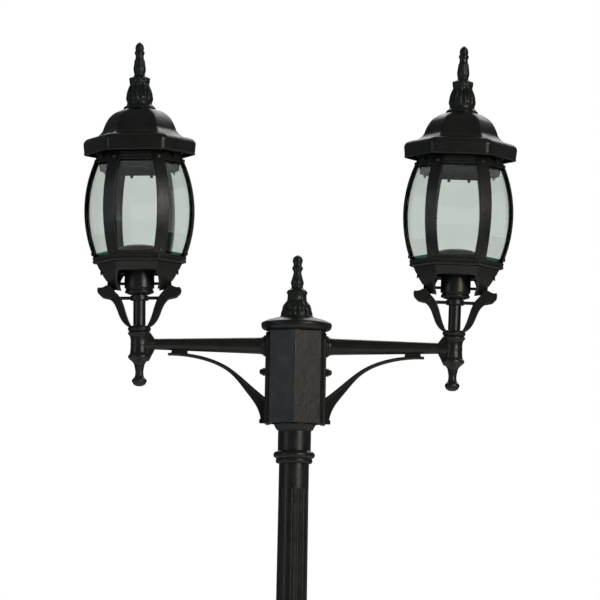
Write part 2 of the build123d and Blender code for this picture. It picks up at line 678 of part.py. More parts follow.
def lantern_nodes():
    """Every lantern piece, drawn round the Z axis."""
    rib = make_ribs()
    rib_screws = make_rib_screws()
    roof_screws = make_roof_screws()
    fixings = Compound(rib_screws.solids() + roof_screws.solids())
    drilled = rib
    for screw in rib_screws.solids():
        drilled -= screw
    base = make_cage_base()
    for screw in rib_screws.solids():
        base -= screw
    return {
        "cradle": make_cradle(),
        "swivel_screw": make_swivel_screw(),
        "cradle_pins": make_cradle_pins(),
        "stem_tube": make_stem_tube(),
        "lampholder_cup": make_lampholder_cup(),
        "lampholder": make_lampholder(),
        "lamp_contacts": make_lamp_contacts(),
        "reflector_dish": make_reflector_dish(),
        "cage_base": base,
        "cage_ribs": ring_of(drilled),
        "rib_screws": rib_screws,
        "glass_panels": ring_of(make_glass(), 30),
        "top_ring": make_top_ring(rib, fixings),
        "ceiling_plate": make_ceiling_plate(),
        "roof_screws": roof_screws,
        "roof": make_roof(),
        "roof_finial": make_roof_finial(),
    }


def main():
    os.makedirs("parts", exist_ok=True)
    write("foot_plate", make_foot_plate())
    write("base_column", make_base_column())
    write("base_bolts", make_base_bolts())
    write("shaft_collar", make_shaft_collar())
    write("fluted_shaft", make_fluted_shaft())
    write("set_screws", make_set_screws())
    write("neck_collar", make_neck_collar())
    write("hub_body", make_hub_body())
    write("hub_cap", make_hub_cap())
    write("centre_finial", make_centre_finial())
    write("tie_rod", make_tie_rod())
    write("terminal_block", make_terminal_block())
    write("plate_bolts", make_plate_bolts())
    lantern = lantern_nodes()
    arm = {
        "bracket_plate": make_bracket_plate(),
        "arm_tube": make_arm_tube(),
        "brace": make_brace(),
        "end_socket": make_end_socket(),
        "drop_finial": leaned(make_drop_finial()),
        "lamp_lead": make_lamp_lead(),
    }
    print(f"lead length {lead_route().length:.0f}")
    for prefix, side in (("left", -1), ("right", 1)):
        for name, shape in arm.items():
            write(f"{prefix}_{name}", Rot(0, 0, 90 - 90 * side) * shape)
        for name, shape in lantern.items():
            write(f"{prefix}_{name}", leaned(shape, side))


main()
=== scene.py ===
"""Looks of the two-lantern street lamp post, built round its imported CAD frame.

Shapes are drawn in millimetres, like the CAD part, and written in metres.
Lantern pieces are drawn round the Z axis and placed at the arm ends.
"""
import json
import math

import bmesh
import bpy
from mathutils import Matrix, Vector


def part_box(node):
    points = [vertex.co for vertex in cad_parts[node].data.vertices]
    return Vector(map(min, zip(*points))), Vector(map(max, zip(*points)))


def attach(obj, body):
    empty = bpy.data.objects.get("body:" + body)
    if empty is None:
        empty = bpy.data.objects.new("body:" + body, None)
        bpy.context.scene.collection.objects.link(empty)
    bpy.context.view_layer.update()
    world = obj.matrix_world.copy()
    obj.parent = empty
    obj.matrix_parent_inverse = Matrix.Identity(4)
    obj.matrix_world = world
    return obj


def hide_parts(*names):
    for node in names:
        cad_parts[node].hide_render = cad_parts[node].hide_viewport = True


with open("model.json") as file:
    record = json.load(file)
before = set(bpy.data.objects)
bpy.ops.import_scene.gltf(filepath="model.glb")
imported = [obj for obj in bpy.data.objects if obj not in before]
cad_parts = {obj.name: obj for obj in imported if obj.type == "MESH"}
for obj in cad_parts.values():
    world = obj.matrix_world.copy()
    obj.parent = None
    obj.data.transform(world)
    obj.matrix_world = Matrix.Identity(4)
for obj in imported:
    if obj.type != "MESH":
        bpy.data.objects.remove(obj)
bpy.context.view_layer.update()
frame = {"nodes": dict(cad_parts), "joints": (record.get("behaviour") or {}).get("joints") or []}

MM = 0.001
SIDES = 6
SIDE_TURN = 360 / SIDES  # degrees
HALF_SIDE = math.radians(SIDE_TURN / 2)
FLAT = math.cos(HALF_SIDE)  # a hexagon's flat distance where its corner reach is 1


def low(node):
    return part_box(node)[0] / MM


def high(node):
    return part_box(node)[1] / MM


# Places read from the frame, in millimetres
SHAFT_TOP = high("fluted_shaft").z
HUB_FLAT = high("hub_body").x
HUB_LOW = low("hub_body").z
HUB_HIGH = high("hub_body").z
CAP_R = high("hub_cap").x
CAP_HIGH = high("hub_cap").z
PLATE_X = high("right_bracket_plate").x
PLATE_LOW = low("right_bracket_plate").z
PLATE_HIGH = high("right_bracket_plate").z
PLATE_HALF_WIDTH = high("right_bracket_plate").y
ARM_Z = (low("right_arm_tube").z + high("right_arm_tube").z) / 2
ARM_OUTER_X = high("right_arm_tube").x

# A lantern leans outwards about its arm's end, along the axis it turns on
SWIVEL = next(j for j in frame["joints"] if j["name"] == "right_lantern_swivel")
LEAN = math.asin(SWIVEL["axis"][0])
ARM_REACH = SWIVEL["pos_m"][0] / MM - (SWIVEL["pos_m"][2] / MM - ARM_Z) * math.tan(LEAN)
SIDE_SIGN = {"left": -1, "right": 1}


def lantern_place(side):
    """Matrix that puts a lantern piece drawn round the Z axis at the end of an arm."""
    sign = SIDE_SIGN[side]
    out = Matrix.Translation((sign * ARM_REACH * MM, 0, ARM_Z * MM))
    down = Matrix.Translation((0, 0, -ARM_Z * MM))
    return out @ Matrix.Rotation(sign * LEAN, 4, "Y") @ down


def heights(node):
    """Lowest and highest point of a right lantern's node, measured along its own axis."""
    upright = lantern_place("right").inverted()
    found = [(upright @ v.co).z / MM for v in frame["nodes"]["right_" + node].data.vertices]
    return min(found), max(found)


SOCKET_LOW = heights("end_socket")[0]
DROP_LOW = heights("drop_finial")[0]
CAGE_LOW, RIB_LOW = heights("cage_base")
RING_LOW, RING_HIGH = heights("top_ring")
CUP_LOW = heights("lampholder_cup")[0]

# Roof, in millimetres
SEAT_GAP = 0.3  # between pieces that rest on each other
ROOF_SEAT = RING_HIGH + SEAT_GAP
ROOF_TOP = heights("roof_finial")[0] + 10
BRIM_Z = 2193.0
LIP_LOW = 2175.0
DOME_LOW = 2208.0
DOME_CEILING = 2261.0
SEAT_WALL_IN, SEAT_WALL_OUT, SEAT_WALL_LOW = 68.5, 70.8, 2169.0
WALL_ROUNDING = 30.0
BRIM_ROUNDING = 17.0
DOME_ROUNDING = 6  # at the dome's foot
DOME_ROUNDING_GAIN = 7  # up to the dome's top

# Cage, in millimetres
BARREL_R = 250.0
BARREL_Z = 2062.0
RIB_REACH = 110.0
RIB_THICK = 3.5
RIB_WIDTH = 26.0
RIB_CROWN = 0.9
RIB_WEB = 9.0
RIB_WEB_DEPTH = 8.0
GLASS_THICK = 3.0
GLASS_FOOT = 4.0  # height of a pane's foot, where its tint shows
GLASS_GAP = 5.9  # from a corner's plane to the edge of a pane
FACE_ON = 0.85  # share of a face's normal that makes it a pane's broad side
CAGE_RIM = FLAT * 95

# Mesh building
NEARLY_STRAIGHT = 0.3  # radians; a softer corner isn't rounded
MOST_CUT = 0.45  # share of an edge that a rounding may take
TIP_R = 1.5  # millimetres; no relief inside it
MERGE_DISTANCE = 2e-6  # metres
DEGENERATE = 1e-7  # metres
SHARP_ANGLE = math.radians(40)


# ---------------------------------------------------------------- outlines


def arc_to(start, end, bulge, count=8):
    """Points after start up to end on an arc standing off to the right of the chord."""
    start, end = Vector(start), Vector(end)
    if not bulge:
        return [end]
    chord = (end - start).length
    radius = (chord * chord / 4 + bulge * bulge) / (2 * abs(bulge))
    half = math.asin(min(1.0, chord / 2 / radius))
    along = (end - start) / chord
    away = Vector((along.y, -along.x)) * math.copysign(1, bulge)
    points = []
    for i in range(1, count + 1):
        turn = half * (2 * i / count - 1)
        points.append(
            (start + end) / 2 + along * math.sin(turn) * radius
            + away * (math.cos(turn) - math.cos(half)) * radius
        )
    return points


def steps_up(low_z, low_r, *steps):
    """Outline (radius, height) from the bottom up; a step is (rise, radius, bulge)."""
    points = [Vector((low_r, low_z))]
    for rise, radius, bulge in steps:
        here = points[-1]
        points += arc_to(here, (radius, here.y + rise), bulge)
    return points


def eased(points, radius, closed=False):
    """The same outline with its sharp corners rounded."""
    made = []
    for i, point in enumerate(points):
        if not closed and i in (0, len(points) - 1):
            made.append(point)
            continue
        before = points[i - 1] - point
        after = points[(i + 1) % len(points)] - point
        if before.length < 1e-6 or after.length < 1e-6:
            continue
        turn = math.pi - before.angle(after)
        if turn < NEARLY_STRAIGHT:
            made.append(point)
            continue
        cut = radius * math.tan(turn / 2)
        first = point + before.normalized() * min(cut, before.length * MOST_CUT)
        last = point + after.normalized() * min(cut, after.length * MOST_CUT)
        for t in (0, 0.25, 0.5, 0.75, 1):
            made.append(first * (1 - t) ** 2 + point * 2 * t * (1 - t) + last * t * t)
    return made


def barrel(z, inset=0.0):
    """Reach of the cage's outer arc at a height."""
    return RIB_REACH - inset - BARREL_R + math.sqrt(BARREL_R ** 2 - (z - BARREL_Z) ** 2)


def rounded_hexagon(flat, corner, first=0.0, arc=6, side=4):
    """Points round a hexagon with rounded corners, always equally many."""
    corner = min(corner, flat * 0.9)
    points = []
    for k in range(SIDES):
        angle = math.radians(first + SIDE_TURN * k)
        centre = Vector((math.cos(angle), math.sin(angle))) * (flat - corner) / FLAT
        for i in range(arc + 1):
            turn = angle + HALF_SIDE * (2 * i / arc - 1)
            points.append(centre + Vector((math.cos(turn), math.sin(turn))) * corner)
    made = []
    for count, (a, b) in enumerate(zip(points, points[1:] + points[:1]), 1):
        made.append(a)
        if count % (arc + 1) == 0:
            made += [a.lerp(b, i / side) for i in range(1, side)]
    return made


# ---------------------------------------------------------------- solids as (points, faces)


def lofted(loops, ring=False):
    """Skin over loops of equally many points; ring joins the last loop to the first."""
    size = len(loops[0])
    points = [p for loop in loops for p in loop]
    faces = []
    for i in range(len(loops) - (0 if ring else 1)):
        here, there = i * size, (i + 1) % len(loops) * size
        for j in range(size):
            k = (j + 1) % size
            faces.append((here + j, here + k, there + k, there + j))
    if not ring:
        faces.append(tuple(reversed(range(size))))
        faces.append(tuple(range(len(points) - size, len(points))))
    return points, faces


def turned(outline, around=96, relief=None, ring=False):
    """Solid of revolution; relief(angle, z) is added to the radius."""
    loops = []
    for r, z in outline:
        loop = []
        for i in range(around):
            angle = 2 * math.pi * i / around
            reach = r + relief(angle, z) if relief and r > TIP_R else r
            loop.append(Vector((reach * math.cos(angle), reach * math.sin(angle), z)))
        loops.append(loop)
    return lofted(loops, ring)


def six_sided(outline, corner, first=0.0, ring=True):
    """Solid with hexagonal sections; the outline is (flat distance, height)."""
    rounding = corner if callable(corner) else lambda flat, z: corner
    loops = [
        [Vector((p.x, p.y, z)) for p in rounded_hexagon(flat, rounding(flat, z), first)]
        for flat, z in outline
    ]
    return lofted(loops, ring)


def shrunk(outline, inset):
    """Outline moved inwards; it runs anticlockwise."""
    if not inset:
        return outline
    made = []
    for i, point in enumerate(outline):
        before = (point - outline[i - 1]).normalized()
        after = (outline[(i + 1) % len(outline)] - point).normalized()
        inward = Vector((-before.y - after.y, before.x + after.x))
        if inward.length < 1e-6:
            inward = Vector((-after.y, after.x))
        made.append(point + inward.normalized() * inset)
    return made


def bar_section(width, thick, ease, count=4):
    """Rounded rectangle, width along the first axis."""
    points = []
    for k, (sx, sy) in enumerate(((1, 1), (-1, 1), (-1, -1), (1, -1))):
        for i in range(count + 1):
            turn = math.radians(90 * (k + i / count))
            points.append(Vector((
                sx * (width / 2 - ease) + math.cos(turn) * ease,
                sy * (thick / 2 - ease) + math.sin(turn) * ease,
            )))
    return points


def swept(line, section):
    """Section drawn along a line in XZ: its first axis lies along Y."""
    loops = []
    for i, point in enumerate(line):
        ahead = (line[min(i + 1, len(line) - 1)] - line[max(i - 1, 0)]).normalized()
        normal = Vector((-ahead.y, ahead.x))
        loops.append([
            Vector((point.x + normal.x * v, u, point.y + normal.y * v)) for u, v in section
        ])
    return lofted(loops)


def moved(shape, matrix):
    points, faces = shape
    return [matrix @ p for p in points], faces


def merged(*shapes):
    points, faces = [], []
    for more_points, more_faces in shapes:
        faces += [tuple(i + len(points) for i in face) for face in more_faces]
        points += more_points
    return points, faces


def turn_z(degrees):
    return Matrix.Rotation(math.radians(degrees), 4, "Z")


def along_x(shape):
    """The same shape, drawn up Z, laid along X."""
    return moved(shape, Matrix.Rotation(math.radians(90), 4, "Y"))


def round_copies(shape, first=0.0, count=SIDES):
    return merged(*[moved(shape, turn_z(first + 360 / count * i)) for i in range(count)])


# ---------------------------------------------------------------- meshes and pieces


def mesh_of(name, shape):
    """Blender mesh in metres, with doubled points merged and normals facing out."""
    points, faces = shape
    mesh = bpy.data.meshes.new(name)
    mesh.from_pydata([p * MM for p in points], [], faces)
    bm = bmesh.new()
    bm.from_mesh(mesh)
    bmesh.ops.remove_doubles(bm, verts=bm.verts, dist=MERGE_DISTANCE)
    bmesh.ops.dissolve_degenerate(bm, edges=bm.edges, dist=DEGENERATE)
    bmesh.ops.recalc_face_normals(bm, faces=bm.faces)
    bm.to_mesh(mesh)
    bm.free()
    return mesh


def piece(name, mesh, material, body, replaces, place=None):
    """Object of a mesh that rides on a body and stands for CAD nodes."""
    if isinstance(mesh, tuple):
        mesh = mesh_of(name, mesh)
    mesh.shade_smooth()
    mesh.set_sharp_from_angle(angle=SHARP_ANGLE)
    made = bpy.data.objects.new(name, mesh)
    bpy.context.scene.collection.objects.link(made)
    if not mesh.materials:
        mesh.materials.append(MATERIALS[material])
    if place is not None:
        made.matrix_world = place
    flatten = made.modifiers.new("Flat_faces", "WEIGHTED_NORMAL")
    flatten.keep_sharp = True
    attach(made, body)
    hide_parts(*replaces)
    return made


# ---------------------------------------------------------------- materials


def node_material(name):
    made = bpy.data.materials.new(name)
    made.use_nodes = True
    tree = made.node_tree
    shader = tree.nodes["Principled BSDF"]
    place = tree.nodes.new("ShaderNodeTexCoord").outputs["Object"]
    return made, tree, shader, place


def noise(tree, place, scale, detail=3.0, roughness=0.5):
    """Noise that differs from object to object; scale is per metre."""
    made = tree.nodes.new("ShaderNodeTexNoise")
    made.noise_dimensions = "4D"
    made.inputs["Scale"].default_value = scale
    made.inputs["Detail"].default_value = detail
    made.inputs["Roughness"].default_value = roughness
    tree.links.new(place, made.inputs["Vector"])
    tree.links.new(random_of(tree), made.inputs["W"])
    return made.outputs["Fac"]


def random_of(tree):
    found = [n for n in tree.nodes if n.bl_idname == "ShaderNodeObjectInfo"]
    info = found[0] if found else tree.nodes.new("ShaderNodeObjectInfo")
    return info.outputs["Random"]


def ramp(tree, value, *stops):
    made = tree.nodes.new("ShaderNodeValToRGB")
    elements = made.color_ramp.elements
    while len(elements) < len(stops):
        elements.new(0.5)
    for element, (position, colour) in zip(elements, stops):
        element.position = position
        element.color = (*colour, 1)
    tree.links.new(value, made.inputs["Fac"])
    return made.outputs["Color"]


def spread(tree, value, lowest, highest, start=0.3, end=0.7):
    """Value from start to end, stretched to lowest and highest."""
    made = tree.nodes.new("ShaderNodeMapRange")
    for socket, number in (("From Min", start), ("From Max", end),
                           ("To Min", lowest), ("To Max", highest)):
        made.inputs[socket].default_value = number
    tree.links.new(value, made.inputs["Value"])
    return made.outputs["Result"]


def mixed(tree, share, first, second):
    made = tree.nodes.new("ShaderNodeMix")
    made.data_type = "RGBA"
    tree.links.new(share, made.inputs[0])
    for value, socket in ((first, made.inputs[6]), (second, made.inputs[7])):
        if isinstance(value, tuple):
            socket.default_value = (*value, 1)
        else:
            tree.links.new(value, socket)
    return made.outputs[2]


def bumps(tree, shader, *layers):
    """Height layers (value, strength, depth in metres), one on the other."""
    before = None
    for value, strength, depth in layers:
        made = tree.nodes.new("ShaderNodeBump")
        made.inputs["Strength"].default_value = strength
        made.inputs["Distance"].default_value = depth
        tree.links.new(value, made.inputs["Height"])
        if before:
            tree.links.new(before, made.inputs["Normal"])
        before = made.outputs["Normal"]
    tree.links.new(before, shader.inputs["Normal"])


def upward(tree, start, end):
    """Share from 0 to 1 as a surface turns to face up."""
    geometry = tree.nodes.new("ShaderNodeNewGeometry")
    split = tree.nodes.new("ShaderNodeSeparateXYZ")
    tree.links.new(geometry.outputs["Normal"], split.inputs[0])
    return spread(tree, split.outputs["Z"], 0.0, 1.0, start, end)


def product(tree, first, second):
    made = tree.nodes.new("ShaderNodeMath")
    made.operation = "MULTIPLY"
    tree.links.new(first, made.inputs[0])
    tree.links.new(second, made.inputs[1])
    return made.outputs[0]


def paint(name, dark, light, dust, roughness=(0.25, 0.40), grain=0.25):
    """Semi-gloss paint over cast metal: mottled tone, orange peel, pits and dust."""
    made, tree, shader, place = node_material(name)
    tone = ramp(tree, noise(tree, place, 22, 5, 0.6), (0.32, dark), (0.68, light))
    patches = spread(tree, noise(tree, place, 60, 4), 0.0, 0.5)
    settled = product(tree, upward(tree, 0.35, 1.0), patches)
    tree.links.new(mixed(tree, settled, tone, dust), shader.inputs["Base Color"])
    gloss = spread(tree, noise(tree, place, 45, 4), *roughness)
    tree.links.new(gloss, shader.inputs["Roughness"])
    bumps(
        tree, shader,
        (noise(tree, place, 70, 2), 0.35, 0.0012),
        (noise(tree, place, 900, 2), grain, 0.00025),
    )
    return made


def plain(name, dark, light, roughness, metallic=1.0, scale=300):
    """Bare metal, or another plain finish with no metallic share."""
    made, tree, shader, place = node_material(name)
    shader.inputs["Metallic"].default_value = metallic
    tone = ramp(tree, noise(tree, place, scale, 4), (0.3, dark), (0.7, light))
    tree.links.new(tone, shader.inputs["Base Color"])
    gloss = spread(tree, noise(tree, place, scale * 2), *roughness)
    tree.links.new(gloss, shader.inputs["Roughness"])
    bumps(tree, shader, (noise(tree, place, scale * 3), 0.2, 0.0001))
    return made


def glass(name, tint, deeper):
    """Clear bent glass with a faint film of dust and slight waviness."""
    made, tree, shader, place = node_material(name)
    shader.inputs["Transmission Weight"].default_value = 1.0
    shader.inputs["IOR"].default_value = 1.5
    tone = ramp(tree, noise(tree, place, 14, 4), (0.35, tint), (0.75, deeper))
    tree.links.new(tone, shader.inputs["Base Color"])
    film = spread(tree, noise(tree, place, 30, 5), 0.0, 0.05)
    tree.links.new(film, shader.inputs["Roughness"])
    bumps(tree, shader, (noise(tree, place, 9, 1), 0.12, 0.002))
    return made


MATERIALS = {
    "black_paint": paint(
        "Black_paint", (0.010, 0.011, 0.011), (0.020, 0.021, 0.020), (0.085, 0.082, 0.072)
    ),
    "green_black_paint": paint(
        "Green_black_paint", (0.006, 0.012, 0.009), (0.016, 0.024, 0.019), (0.060, 0.068, 0.058)
    ),
    # Darker copy of the green-black paint: painted shade for the dish and ceiling plate inside the
    # lantern
    "shaded_green_paint": paint(
        "Shaded_green_paint", (0.003, 0.008, 0.006), (0.007, 0.016, 0.012), (0.012, 0.024, 0.018),
        roughness=(0.4, 0.55),
    ),
    "dark_steel": plain("Dark_steel", (0.05, 0.05, 0.05), (0.11, 0.11, 0.11), (0.3, 0.5)),
    "zinc_fasteners": plain("Zinc", (0.42, 0.42, 0.41), (0.60, 0.60, 0.58), (0.25, 0.5)),
    "clear_glass": glass("Clear_glass", (0.755, 0.795, 0.765), (0.725, 0.77, 0.735)),
    "glass_edge": glass("Glass_edge", (0.035, 0.10, 0.075), (0.025, 0.075, 0.055)),
    "white_ceramic": plain(
        "Ceramic", (0.78, 0.76, 0.71), (0.86, 0.85, 0.80), (0.12, 0.28), 0.0, 60
    ),
    "brass_contacts": plain("Brass", (0.62, 0.42, 0.16), (0.78, 0.58, 0.26), (0.2, 0.4)),
    "white_plastic": plain(
        "White_plastic", (0.70, 0.69, 0.65), (0.80, 0.79, 0.76), (0.4, 0.6), 0.0, 120
    ),
    "lead_sheath": plain(
        "Lead_sheath", (0.02, 0.02, 0.02), (0.045, 0.045, 0.043), (0.5, 0.7), 0.0, 200
    ),
}

# Finish of each kind of CAD node; the others are black paint
NODE_SLOTS = {
    "base_bolts": "zinc_fasteners", "set_screws": "dark_steel", "tie_rod": "zinc_fasteners",
    "terminal_block": "white_plastic", "lamp_lead": "lead_sheath", "swivel_screw": "dark_steel",
    "lampholder": "white_ceramic", "lamp_contacts": "brass_contacts",
    "glass_panels": "clear_glass", "roof": "green_black_paint",
    "roof_finial": "green_black_paint", "centre_finial": "green_black_paint",
    # The dish and ceiling plate take the darker green paint, which is painted shade
    "reflector_dish": "shaded_green_paint", "ceiling_plate": "shaded_green_paint",
}


def finish_cad_nodes():
    """Every CAD node gets its procedural material, the ones replaced later among them."""
    for name, node in frame["nodes"].items():
        kind = name.removeprefix("left_").removeprefix("right_")
        node.data.materials.clear()
        node.data.materials.append(MATERIALS[NODE_SLOTS.get(kind, "black_paint")])


# ---------------------------------------------------------------- relief


def leaves(count, low_z, high_z, depth, shift=0.0):
    """Relief of upright leaves with a vein, between two heights."""
    def relief(angle, z):
        up = (z - low_z) / (high_z - low_z)
        if not 0 < up < 1:
            return 0.0
        across = (angle * count / (2 * math.pi) + shift) % 1 - 0.5
        edge = 0.46 * math.sqrt(1 - up ** 2.4) + 0.03
        blade = math.sqrt(max(0.0, 1 - (across / edge) ** 2))
        vein = math.exp(-(across / 0.08) ** 2)
        return depth * (blade * (1 - 0.4 * vein) - 0.35) * min(1, up * 6, (1 - up) * 6)
    return relief


def gadroons(count, low_z, high_z, depth):
    """Relief of upright lobes between two heights."""
    def relief(angle, z):
        up = (z - low_z) / (high_z - low_z)
        if not 0 < up < 1:
            return 0.0
        return depth * (abs(math.sin(angle * count / 2)) - 0.6) * min(1, up * 4, (1 - up) * 4)
    return relief


def together(*reliefs):
    return lambda angle, z: sum(relief(angle, z) for relief in reliefs)


# ---------------------------------------------------------------- post and hub


def make_neck():
    low_z = SHAFT_TOP + SEAT_GAP
    outline = steps_up(
        low_z, 33, (1, 35, 0), (8.7, 35.5, 1.5), (1, 37, 0), (13, 37, 4.5), (2, 33, -0.5),
        (HUB_LOW - 16 - low_z - 25.7, 33, 0), (3, 36, -1), (11, 42, 0), (2, 42, 0),
    )
    piece("Neck", turned(eased(outline, 0.7), 120), "black_paint", "head", ["neck_collar"])


def make_hub():
    wall = 6.0
    outline = eased([Vector(p) for p in (
        (HUB_FLAT, HUB_LOW), (HUB_FLAT, HUB_HIGH), (HUB_FLAT - wall, HUB_HIGH),
        (HUB_FLAT - wall, HUB_LOW),
    )], 0.8, closed=True)
    piece("Hub", six_sided(outline, 2.2, first=30), "black_paint", "head", ["hub_body"])


def make_cap():
    outline = steps_up(
        HUB_HIGH, 60, (2, 65, 0), (8, CAP_R, 1.5), (8, CAP_R - 4, 2), (6, 50, 0.5),
        (CAP_HIGH - HUB_HIGH - 24, 34, 0),
    )
    piece("Cap", turned(eased(outline, 0.8), 144), "black_paint", "head", ["hub_cap"])


def make_centre_finial():
    outline = steps_up(
        CAP_HIGH, 34, (3, 31.5, 0.6), (12, 28, 0.6), (10, 25, 0.3), (10, 18.8, -0.8),
        (6, 18.2, 0), (6, 19.6, 0), (4, 20, 1), (4, 17, 0.4), (5, 11.6, -0.8), (3, 11.6, 0),
        (10, 12.2, 0.8), (8, 9.8, -0.2), (6, 8.4, 0), (6, 8.4, -0.2), (3, 10.4, 0),
        (5, 10.2, 0.5), (3, 8.4, -0.2), (4, 8.6, 0), (5, 10, 0.5), (5, 9, 0.8),
        (4, 6.2, 0.8), (2, 3, 0.3), (1, 0.8, 0.1),
    )
    relief = together(
        leaves(8, CAP_HIGH + 1, CAP_HIGH + 36, 2.6),
        leaves(8, CAP_HIGH + 12, CAP_HIGH + 46, 1.6, 0.5),
        gadroons(12, CAP_HIGH + 46, CAP_HIGH + 55, 1.2),
        leaves(6, CAP_HIGH + 60, CAP_HIGH + 92, 0.9),
    )
    shape = turned(finer(eased(outline, 0.5)), 160, relief)
    piece("Centre_finial", shape, "green_black_paint", "head", ["centre_finial"])


def finer(outline, step=1.2):
    """The same outline with points no further apart than a step."""
    made = [outline[0]]
    for here, there in zip(outline, outline[1:]):
        count = max(1, math.ceil((there - here).length / step))
        made += [here.lerp(there, i / count) for i in range(1, count + 1)]
    return made


def arm_pieces(name, mesh, node):
    """The same piece on both arms."""
    for side, turn in (("right", 0), ("left", 180)):
        piece(f"{name}_{side}", mesh, "black_paint", "head", [f"{side}_{node}"], turn_z(turn))


def make_plates():
    """Plates with cut corners against the hub, their faces sunk within a rim."""
    half, shoulder, cut = PLATE_HALF_WIDTH, 14, 9
    outline = eased([Vector(p) for p in (
        (-half, PLATE_LOW), (half, PLATE_LOW), (half, PLATE_HIGH - shoulder),
        (half - cut, PLATE_HIGH), (cut - half, PLATE_HIGH), (-half, PLATE_HIGH - shoulder),
    )], 2.5, closed=True)
    loops = []
    for x, inset in ((HUB_FLAT - 0.5, 0), (PLATE_X - 1.6, 0), (PLATE_X - 0.5, 0.5), (PLATE_X, 1.6),
                     (PLATE_X, 5), (PLATE_X - 0.5, 5.6), (PLATE_X - 0.5, 7)):
        loops.append([Vector((x, p.x, p.y)) for p in shrunk(outline, inset)])
    arm_pieces("Bracket_plate", mesh_of("Bracket_plate", lofted(loops)), "bracket_plate")


def make_arms():
    outline = [Vector(p) for p in (
        (21, PLATE_X - 0.5), (21.6, PLATE_X + 2.5), (20.4, PLATE_X + 4.5), (18.4, PLATE_X + 6),
        (17.4, PLATE_X + 8.5), (16.6, PLATE_X + 13), (16.3, PLATE_X + 22),
        (11.2, ARM_OUTER_X - 8), (11, ARM_OUTER_X),
    )]
    shape = moved(along_x(turned(eased(outline, 1.5), 64)), Matrix.Translation((0, 0, ARM_Z)))
    arm_pieces("Arm", mesh_of("Arm", shape), "arm_tube")


def make_drop_finials():
    outline = steps_up(
        DROP_LOW, 4, (2, 9, 0.8), (4, 13, 1), (9, 12.5, 2.2), (9, 8.4, -1.2), (9, 8.6, -0.4),
        (SOCKET_LOW - DROP_LOW - 37, 10, 0), (9, 15.5, -1), (3, 16, 0.4),
    )
    relief = gadroons(10, DROP_LOW + 2, DROP_LOW + 20, 0.6)
    mesh = mesh_of("Drop_finial", turned(finer(eased(outline, 0.6)), 96, relief))
    for side in SIDE_SIGN:
        piece(f"Drop_finial_{side}", mesh, "black_paint", "head", [f"{side}_drop_finial"],
              lantern_place(side))


# ---------------------------------------------------------------- lanterns


def lantern_pieces(name, mesh, material, node, body="lantern"):
    """The same piece in both lanterns."""
    if isinstance(mesh, tuple):
        mesh = mesh_of(name, mesh)
    for side in SIDE_SIGN:
        piece(f"{name}_{side}", mesh, material, f"{side}_{body}", [f"{side}_{node}"],
              lantern_place(side))


def heights_between(low_z, high_z, count):
    return [low_z + (high_z - low_z) * i / count for i in range(count + 1)]


def make_ribs():
    """Barrel-curved T bars at the corners, with a crowned outer face."""
    flange = [
        Vector((u, v - RIB_CROWN * (1 - (2 * u / RIB_WIDTH) ** 2) if v < 0 else v))
        for u, v in bar_section(RIB_WIDTH, RIB_THICK, 1.1, 5)
    ]
    line = [
        Vector((barrel(z, RIB_THICK / 2), z)) for z in heights_between(RIB_LOW, RING_HIGH, 40)
    ]
    web_inset = RIB_THICK + RIB_WEB_DEPTH / 2 - 0.5
    web_line = [
        Vector((barrel(z, web_inset), z)) for z in heights_between(RIB_LOW, RING_LOW, 36)
    ]
    web = bar_section(RIB_WEB, RIB_WEB_DEPTH, 1.2)
    rib = merged(swept(line, flange), swept(web_line, web))
    lantern_pieces("Ribs", round_copies(rib), "black_paint", "cage_ribs")


def glass_reach(z):
    """Distance of a pane's outer face from the axis."""
    return FLAT * (barrel(z) - RIB_THICK - 0.2) + 2.2


def facing_pane(point):
    """Direction square to the pane that a point belongs to."""
    degrees = math.degrees(math.atan2(point.y, point.x))
    turn = math.radians(math.floor(degrees / SIDE_TURN) * SIDE_TURN + SIDE_TURN / 2)
    return Vector((math.cos(turn), math.sin(turn), 0))


def make_glass():
    """Bent panes between the ribs; their cut rims and feet have the deeper tint."""
    loops = []
    for z in heights_between(RIB_LOW + SEAT_GAP, RING_LOW - SEAT_GAP, 32):
        outer, inner = glass_reach(z), glass_reach(z) - GLASS_THICK
        loop = []
        for x, ease in ((outer, 0.4), (outer - 0.4, 0), (inner + 0.4, 0), (inner, 0.4)):
            half = x * math.tan(HALF_SIDE) - GLASS_GAP - ease
            loop.append(Vector((x, half, z)))
        loops.append(loop + [Vector((p.x, -p.y, p.z)) for p in reversed(loop)])
    mesh = mesh_of("Glass", round_copies(lofted(loops), SIDE_TURN / 2))
    mesh.materials.append(MATERIALS["clear_glass"])
    mesh.materials.append(MATERIALS["glass_edge"])
    for face in mesh.polygons:
        broad = abs(face.normal.dot(facing_pane(face.center))) > FACE_ON
        clear = broad and face.center.z / MM > RIB_LOW + GLASS_FOOT
        face.material_index = 0 if clear else 1
    lantern_pieces("Glass", mesh, "clear_glass", "glass_panels")


def make_top_ring():
    """Six moulded lengths between the rib tops, on a plain ring behind them."""
    outline = [Vector(p) for p in (
        (71, RING_LOW), (81.2, RING_LOW), (81.8, RING_LOW + 1.5), (81.5, RING_LOW + 4),
        (79.6, RING_LOW + 4.8), (78.6, RING_LOW + 6), (79.2, RING_LOW + 7.5),
        (79.2, RING_LOW + 13), (78.2, RING_LOW + 14.4), (78.4, RING_LOW + 16),
        (77.6, RING_HIGH), (71, RING_HIGH),
    )]
    section = eased(outline, 0.6, closed=True)
    half_rib = RIB_WIDTH / 2 / FLAT
    loops = []
    for share in (-1, -0.985, 0.985, 1):
        inset = 0.8 if abs(share) == 1 else 0.0
        loops.append([
            Vector((p.x, share * (p.x * math.tan(HALF_SIDE) - half_rib), p.y))
            for p in shrunk(section, inset)
        ])
    behind = eased([Vector(p) for p in (
        (70, RING_LOW + 0.5), (76, RING_LOW + 0.5), (73, RING_HIGH - 0.5), (70, RING_HIGH - 0.5),
    )], 0.5, closed=True)
    shape = merged(round_copies(lofted(loops), SIDE_TURN / 2), six_sided(behind, 20))
    lantern_pieces("Top_ring", shape, "black_paint", "top_ring")


